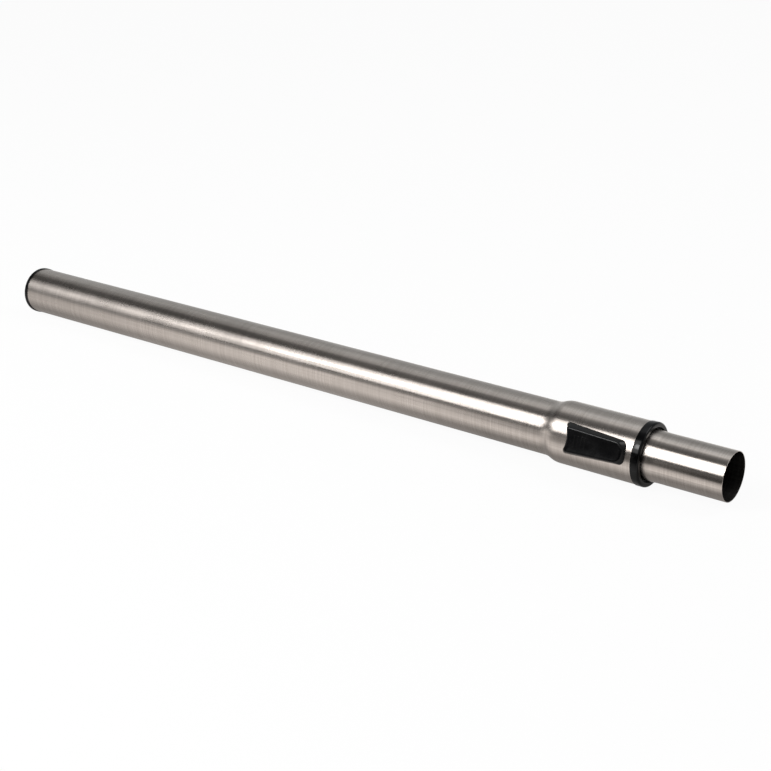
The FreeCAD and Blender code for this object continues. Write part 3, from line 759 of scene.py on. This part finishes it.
class WAND_OT_release_button(Operator):
    """Satin thumb button with drafted walls, a scooped rear end and grip ribs in a thumb hollow"""

    bl_idname = "wand.release_button"
    bl_label = "Release Button"

    def execute(self, context):
        sizes = context.scene.wand_sizes
        mesh = bmesh.new()
        foot = self.outline(sizes, False, 0)
        crest = self.outline(sizes, True, 0)
        walls = [[], [], []]
        for low, high in zip(foot, crest):
            seat = self.seat_share(sizes, low, high)
            rim = 1 - sizes.button_edge / (high - low).length
            for wall, share in zip(walls, even(seat, rim, len(walls) - 1)):
                wall.append(low.lerp(high, share))
        inner = self.outline(sizes, True, sizes.button_edge)
        edges = [rounded(*corner, 5) for corner in zip(walls[-1], crest, inner)]
        loops = walls + list(zip(*edges))[1:]
        for inset in even(sizes.button_edge, sizes.thumb_reach, 8)[1:]:
            rise = (sizes.thumb_reach - inset) / (sizes.thumb_reach - sizes.button_edge)
            drop = Vector((0, 0, sizes.thumb_depth * (1 - rise * rise)))
            loops.append([point - drop for point in self.outline(sizes, True, inset)])
        roof = [self.room_edge(sizes, point) for point in walls[0]]
        seat = [Vector((x, y, math.sqrt(sizes.button_seat ** 2 - y * y))) for x, y in roof]
        roof = [Vector((x, y, sizes.button_ceiling)) for x, y in roof]
        loops = [roof, seat] + loops
        closed_skin(mesh, [[mesh.verts.new(point) for point in loop] for loop in loops])
        for index in range(sizes.rib_count):
            self.rib(mesh, sizes, sizes.slot_rear + (index + 1) * sizes.rib_pitch)
        lay_down(mesh, sizes)
        new_piece("release_button_moulding", mesh, ("satin black",),
                  "slide", "release_button")
        return {"FINISHED"}

    def ends(self, sizes, level_rear, level_front):
        """Stations of the rear and the front end at their levels."""
        rear_rise = level_rear - sizes.button_skirt
        front_rise = level_front - sizes.sleeve_radius
        rear = sizes.button_rear + math.tan(sizes.rear_draft) * rear_rise
        front = sizes.button_front - math.tan(sizes.front_draft) * front_rise
        return rear, front

    def top(self, sizes, station):
        """Level of the sloping top face above a station."""
        rear, front = self.ends(sizes, sizes.rear_top, sizes.front_top)
        fall = sizes.front_top - sizes.rear_top
        return sizes.rear_top + fall * (station - rear) / (front - rear)

    def half(self, sizes, station, level):
        """Half width of the drafted body at a station and a level."""
        share = (station - sizes.button_rear) / (sizes.button_front - sizes.button_rear)
        cover = sizes.rear_cover + (sizes.front_cover - sizes.rear_cover) * share
        return sizes.slot_half + cover - math.tan(sizes.side_draft) * (level - sizes.button_skirt)

    def scoop(self, sizes, offset):
        """Depth of the rear scoop beside the button's middle."""
        rear = self.ends(sizes, sizes.rear_top, sizes.front_top)[0]
        half = self.half(sizes, rear, sizes.rear_top)
        radius = (half ** 2 + sizes.rear_scoop ** 2) / (2 * sizes.rear_scoop)
        depth = math.sqrt(radius ** 2 - offset ** 2) - radius + sizes.rear_scoop
        return max(depth, 0) / math.cos(sizes.rear_draft)

    def outline(self, sizes, upper, inset):
        """Closed loop of points round the body at the top face or at the skirt's level."""
        skirt = sizes.button_skirt
        levels = (sizes.rear_top, sizes.front_top) if upper else (skirt, skirt)
        rear, front = self.ends(sizes, *levels)
        rear, front = rear + inset, front - inset
        wide = self.half(sizes, rear, levels[0]) - inset
        narrow = self.half(sizes, front, levels[1]) - inset
        back = max(sizes.rear_corner - inset, sizes.least_corner)
        fore = max(sizes.front_corner - inset, sizes.least_corner)

        def beside(station):
            return wide + (narrow - wide) * (station - rear) / (front - rear)

        def ahead(offset):
            return front - sizes.front_bow * (offset / narrow) ** 2

        behind = rear + self.scoop(sizes, wide)
        shoulder = wide - back
        points = [(rear + self.scoop(sizes, y), y) for y in even(-shoulder, shoulder, 24)[1:-1]]
        scooped = len(points)
        points += rounded((rear + self.scoop(sizes, shoulder), shoulder), (behind, beside(behind)),
                          (behind + back, beside(behind + back)), 6)
        corner = ahead(narrow)
        points += [(x, beside(x)) for x in even(behind + back, corner - fore, 30)[1:-1]]
        points += rounded((corner - fore, beside(corner - fore)), (corner, beside(corner)),
                          (ahead(narrow - fore), narrow - fore), 10)
        points += [(ahead(y), y) for y in even(narrow - fore, 0, 5)[1:]]
        mirrored = [(x, -y) for x, y in reversed(points[scooped:-1])]
        placed = []
        for x, y in points + mirrored:
            placed.append(Vector((x, y, self.top(sizes, x) if upper else skirt)))
        return placed

    def seat_share(self, sizes, low, high):
        """Share of the wall's height at which it meets the seat above the sleeve."""
        below, above = 0.0, 1.0
        for step in range(24):
            middle = (below + above) / 2
            point = low.lerp(high, middle)
            if math.hypot(point.y, point.z) < sizes.button_seat:
                below = middle
            else:
                above = middle
        return below

    def room_edge(self, sizes, point):
        """Edge of the room for the carriage, seen from its middle towards a point of the wall."""
        middle = (sizes.carriage_rear + sizes.carriage_front) / 2
        reach = (sizes.carriage_front - sizes.carriage_rear) / 2
        along = point.x - middle
        scale = max(abs(along) / reach, abs(point.y) / sizes.carriage_half)
        return middle + along / scale, point.y / scale

    def rib(self, mesh, sizes, station):
        """Round-ended grip rib across the thumb hollow."""
        level = self.top(sizes, station) - sizes.thumb_depth - sizes.rib_radius + sizes.rib_height
        ends = arc((sizes.rib_radius - sizes.rib_half, 0), sizes.rib_radius, 165, 90, 5)
        profile = ends + [(-y, radius) for y, radius in reversed(ends)]
        along, upward = Vector((1, 0, 0)), Vector((0, 0, 1))
        rings = []
        for y, radius in profile:
            rings.append(circle(mesh, Vector((station, y, level)), along, upward, radius, 20))
        closed_skin(mesh, rings)


class WAND_OT_return_springs(Operator):
    """Coil springs between the carriage at rest and their seat"""

    bl_idname = "wand.return_springs"
    bl_label = "Return Springs"

    def execute(self, context):
        sizes = context.scene.wand_sizes
        self.spring(sizes, "return_spring_upper", sizes.spring_spread)
        self.spring(sizes, "return_spring_lower", -sizes.spring_spread)
        return {"FINISHED"}

    def spring(self, sizes, node, offset):
        """Coil on one side of the button's line, in place of the node of that name."""
        wire = sizes.spring_wire / 2
        coil = sizes.spring_diameter / 2 - wire
        clear = wire + sizes.fit_gap
        start = sizes.spring_seat - sizes.spring_room + clear
        end = sizes.spring_seat - clear
        turns = 2 * math.pi * sizes.spring_turns
        steps = 32 * sizes.spring_turns
        mesh = bmesh.new()
        rings = []
        for turn, station in zip(even(0, turns, steps), even(start, end, steps)):
            outward = Vector((0, math.cos(turn), math.sin(turn)))
            heading = Vector(((end - start) / turns, -coil * math.sin(turn), coil * math.cos(turn)))
            sideways = heading.normalized().cross(outward)
            middle = Vector((station, offset, sizes.spring_level)) + coil * outward
            rings.append(circle(mesh, middle, outward, sideways, wire, 10))
        closed_skin(mesh, rings)
        lay_down(mesh, sizes)
        piece = new_piece(node + "_coil", mesh, ("plain steel",), "outer", node)
        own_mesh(piece)


def dress(node, material):
    """A node of the frame with one of the wand's finishes."""
    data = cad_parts[node].data
    data.materials.clear()
    data.materials.append(finish(material))


class WAND_OT_lock_works(Operator):
    """Finishes of the guide, the lock, the leaf springs and the seals inside the sleeve"""

    bl_idname = "wand.lock_works"
    bl_label = "Lock Works"

    def execute(self, context):
        for node in ("guide_sleeve", "slide_carriage", "lock_bolt",
                     "glide_shell_upper", "glide_shell_lower"):
            dress(node, "acetal")
        for node in ("lock_pin", "anti_rattle_spring_upper", "anti_rattle_spring_lower"):
            dress(node, "plain steel")
        dress("air_seal", "rubber")
        dress("wiper_ring", "felt")
        return {"FINISHED"}


def area_light(name, place, target, width, height, power):
    """Rectangular lamp at a place, turned to a target."""
    data = bpy.data.lights.new(name, "AREA")
    data.shape = "RECTANGLE"
    data.size = width
    data.size_y = height
    data.energy = power
    lamp = bpy.data.objects.new(name, data)
    lamp.location = place
    lamp.rotation_euler = (Vector(target) - Vector(place)).to_track_quat("-Z", "Y").to_euler()
    bpy.context.scene.collection.objects.link(lamp)


class WAND_OT_stage(Operator):
    """Pale floor, soft studio light and the camera"""

    bl_idname = "wand.stage"
    bl_label = "Stage"

    def execute(self, context):
        self.floor(context)
        self.surroundings(context)
        self.lamps(context)
        self.camera(context)
        context.scene.view_settings.view_transform = "Standard"
        return {"FINISHED"}

    def floor(self, context):
        """Floor on which the wand lies, under its end ring and its collar."""
        sizes = context.scene.wand_sizes
        half = context.scene.wand_stage.floor_size / 2
        slope = (sizes.ring_radius - sizes.collar_radius) / (sizes.collar_front - sizes.tube_start)
        base = -sizes.ring_radius - slope * sizes.tube_start
        corners = [(-half, -half), (half, -half), (half, half), (-half, half)]
        data = bpy.data.meshes.new("floor")
        data.from_pydata([(x, y, base + slope * x) for x, y in corners], [], [(0, 1, 2, 3)])
        floor = bpy.data.objects.new("floor", data)
        context.scene.collection.objects.link(floor)
        data.materials.append(self.floor_material())

    def floor_material(self):
        """Floor, white to the camera, keeping the shadow; steel mirrors painted shade on it."""
        material, tree, shader, coordinate = new_material("pale floor")
        shader.inputs["Base Color"].default_value = (0.9, 0.9, 0.9, 1)
        shader.inputs["Roughness"].default_value = 0.9
        place = add_node(tree, "ShaderNodeSeparateXYZ", {}, {0: coordinate}).outputs
        # Painted levels that the steel mirrors, each changing between two places in metres
        # Painted shadow under the wand, deeper towards the right
        shade = spread(tree, place["X"], 0.33, 0.45, 0.5, 0.34)
        under = spread(tree, place["Y"], -0.034, -0.018, 1.0, shade)
        # Painted light on the floor behind the wand
        behind = spread(tree, place["Y"], 0.02, 0.07, 0.0, 0.5)
        # Painted shade towards the left
        left = spread(tree, place["X"], -0.05, 0.2, 0.72, 1.0)
        # Painted dark band in front, towards the right
        slanted = math_node(tree, "MULTIPLY", place["Y"], 0.53)
        away = math_node(tree, "SUBTRACT", place["X"], slanted)
        dark = math_node(tree, "MULTIPLY", spread(tree, away, 0.34, 0.62, 0.0, 0.93),
                         spread(tree, place["Y"], -0.09, -0.04, 1.0, 0.0))
        lit = math_node(tree, "MULTIPLY", math_node(tree, "ADD", under, behind), left)
        seen = math_node(tree, "MULTIPLY", lit, math_node(tree, "SUBTRACT", 1.0, dark))
        path = tree.nodes.new("ShaderNodeLightPath").outputs
        white = math_node(tree, "MAXIMUM", path["Is Camera Ray"], path["Is Transmission Ray"])
        strength = math_node(tree, "MAXIMUM", white, seen)
        # Warm painted tint of the floor where the steel mirrors it; white to the camera
        tint = mixed(tree, white, (1.0, 0.975, 0.955), (1.0, 1.0, 1.0))
        glow = add_node(tree, "ShaderNodeEmission", {}, {"Color": tint, "Strength": strength})
        plain = math_node(tree, "MULTIPLY", white, 0.94)
        shown = math_node(tree, "MAXIMUM", plain, path["Is Glossy Ray"])
        blend = add_node(tree, "ShaderNodeMixShader", {},
                         {0: shown, 1: shader.outputs["BSDF"], 2: glow.outputs[0]})
        output = next(node for node in tree.nodes if node.type == "OUTPUT_MATERIAL")
        tree.links.new(blend.outputs[0], output.inputs["Surface"])
        return material

    def surroundings(self, context):
        """Studio walls, white to the camera, with the grey levels that the steel mirrors."""
        world = bpy.data.worlds.new("studio")
        context.scene.world = world
        world.use_nodes = True
        tree = world.node_tree
        tree.nodes.clear()
        direction = tree.nodes.new("ShaderNodeTexCoord").outputs["Generated"]
        parts = add_node(tree, "ShaderNodeSeparateXYZ", {}, {0: direction}).outputs
        front = math_node(tree, "MULTIPLY", parts["Y"], -1.0)
        turn = math_node(tree, "ARCTAN2", parts["Z"], front)
        share = spread(tree, turn, 0.0, math.pi)
        across = spread(tree, parts["X"], LEFT_ENDS, RIGHT_FULL)
        left, right = [self.ramp(tree, share, steps) for steps in (LEFT_LEVELS, RIGHT_LEVELS)]
        level = mixed(tree, across, left, right)
        path = tree.nodes.new("ShaderNodeLightPath").outputs
        shown = math_node(tree, "MAXIMUM", path["Is Camera Ray"], path["Is Transmission Ray"])
        tint = mixed(tree, shown, level, (1, 1, 1))
        glow = add_node(tree, "ShaderNodeBackground", {}, {"Color": tint, "Strength": 1.0})
        output = tree.nodes.new("ShaderNodeOutputWorld")
        tree.links.new(glow.outputs[0], output.inputs["Surface"])

    def ramp(self, tree, share, steps):
        """Grey levels over a share of the way from the horizon in front to the one behind."""
        made = tree.nodes.new("ShaderNodeValToRGB")
        tree.links.new(share, made.inputs[0])
        while len(made.color_ramp.elements) < len(steps):
            made.color_ramp.elements.new(0.5)
        for element, (degrees, level) in zip(made.color_ramp.elements, steps):
            element.position = degrees / 180
            cast = COOL_CAST if degrees > COOL_FROM else PLAIN_CAST
            element.color = (*[level * part for part in cast], 1)
        return made.outputs[0]

    def lamps(self, context):
        """Large softbox in three parts, which makes the steel's streaks, and a fill from above."""
        stage = context.scene.wand_stage
        area_light("softbox", place=(-0.02, -1.18, 0.92), target=(0.1, 0, 0),
                   width=1.2, height=1.17, power=stage.softbox_power)
        area_light("softbox wing", place=(-0.87, -1.2, 0.89), target=(-0.4, 0, 0),
                   width=0.5, height=1.05, power=stage.wing_power)
        area_light("softbox core", place=(-0.04, -1.18, 0.92), target=(0.3, 0, 0),
                   width=0.4, height=0.35, power=stage.core_power)
        area_light("overhead fill", place=(1.6, 0.9, 1.9), target=(0.3, 0, 0),
                   width=1.2, height=1.2, power=stage.fill_power)

    def camera(self, context):
        """Camera at the photograph's angle."""
        data = bpy.data.cameras.new("camera")
        data.lens = context.scene.wand_stage.focal_length
        data.sensor_width = 36
        data.sensor_fit = "HORIZONTAL"
        data.clip_start = 0.01
        camera = bpy.data.objects.new("camera", data)
        right, up = Vector(CAMERA_RIGHT), Vector(CAMERA_UP)
        turn = Matrix((right, up, right.cross(up))).transposed().to_4x4()
        camera.matrix_world = Matrix.Translation(CAMERA_PLACE) @ turn
        context.scene.collection.objects.link(camera)
        context.scene.camera = camera


class WAND_PT_pieces(Panel):
    """Pieces of the wand and its stage"""

    bl_idname = "WAND_PT_pieces"
    bl_label = "Telescopic Wand"
    bl_space_type = "VIEW_3D"
    bl_region_type = "UI"
    bl_category = "Wand"

    def draw(self, context):
        for operator in OPERATORS:
            self.layout.operator(operator.bl_idname)
        for group, kind in SETTINGS.items():
            box = self.layout.box()
            for name in kind.__annotations__:
                box.prop(getattr(context.scene, group), name)


SETTINGS = {"wand_sizes": WandSizes, "wand_finish": WandFinish, "wand_stage": WandStage}
OPERATORS = (WAND_OT_outer_tube, WAND_OT_inner_tube, WAND_OT_collar, WAND_OT_end_ring,
             WAND_OT_release_button, WAND_OT_return_springs, WAND_OT_lock_works, WAND_OT_stage)
CLASSES = (*SETTINGS.values(), *OPERATORS, WAND_PT_pieces)


def register():
    for kind in CLASSES:
        bpy.utils.register_class(kind)
    for group, kind in SETTINGS.items():
        setattr(bpy.types.Scene, group, PointerProperty(type=kind))


def unregister():
    for group in SETTINGS:
        delattr(bpy.types.Scene, group)
    for kind in reversed(CLASSES):
        bpy.utils.unregister_class(kind)


def main():
    register()
    bpy.ops.wand.outer_tube()
    bpy.ops.wand.inner_tube()
    bpy.ops.wand.collar()
    bpy.ops.wand.end_ring()
    bpy.ops.wand.release_button()
    bpy.ops.wand.return_springs()
    bpy.ops.wand.lock_works()
    bpy.ops.wand.stage()


if __name__ == "__main__":
    main()
